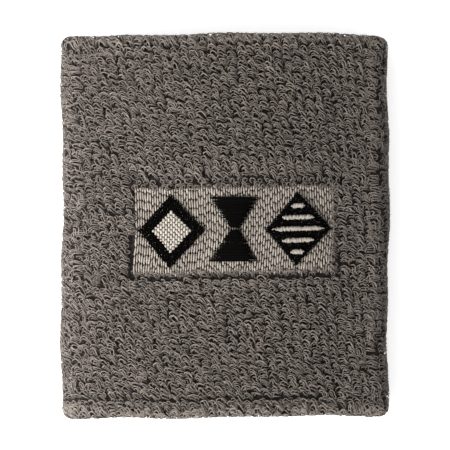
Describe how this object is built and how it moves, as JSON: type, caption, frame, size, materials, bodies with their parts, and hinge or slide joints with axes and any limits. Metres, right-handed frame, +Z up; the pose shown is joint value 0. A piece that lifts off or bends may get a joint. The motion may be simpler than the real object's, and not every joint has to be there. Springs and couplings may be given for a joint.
{
  "type": "sweat wristband",
  "caption": "Double-walled terry sweat wristband lying flat on its back: a knitted sleeve turned back on itself, with laid-in elastic and an embroidered front patch.",
  "frame": {"origin": "middle of the flat back, where the band rests on a surface", "axes": "+X across the flattened band towards its right side fold, +Y along the wrist from the hem rim to the turned rim, +Z up through the front and its patch"},
  "size_m": [0.078, 0.09, 0.0185],
  "materials": {
    "terry_outer": "looped cotton terry pile, warm grey-brown, matte",
    "terry_inner": "looped cotton terry pile, flatter from wear, matte",
    "elastic": "covered elastic yarn, off-white",
    "seam_thread": "spun polyester sewing thread, grey-brown",
    "backing": "non-woven stabiliser, white, matte",
    "bobbin": "fine spun bobbin thread, white",
    "thread_beige": "rayon embroidery thread, beige, soft sheen",
    "thread_cream": "rayon embroidery thread, cream, soft sheen",
    "thread_black": "rayon embroidery thread, black, soft sheen"
  },
  "bodies": {
    "root": {"outer_terry_wall": "terry_outer", "inner_terry_wall": "terry_inner", "upper_turned_rim": "terry_outer", "lower_hem_rim": "terry_outer", "elastic_yarn": "elastic", "closing_seam_thread": "seam_thread", "embroidery_backing": "backing", "bobbin_thread": "bobbin", "patch_ground_stitching": "thread_beige", "left_diamond_frame": "thread_black", "left_diamond_field": "thread_cream", "centre_triangle_upper": "thread_black", "centre_triangle_lower": "thread_black", "right_diamond_fill": "thread_black", "right_satin_bar_1": "thread_cream", "right_satin_bar_2": "thread_cream", "right_satin_bar_3": "thread_cream", "right_satin_bar_4": "thread_cream", "right_satin_bar_5": "thread_cream"}
  },
  "joints": []
}
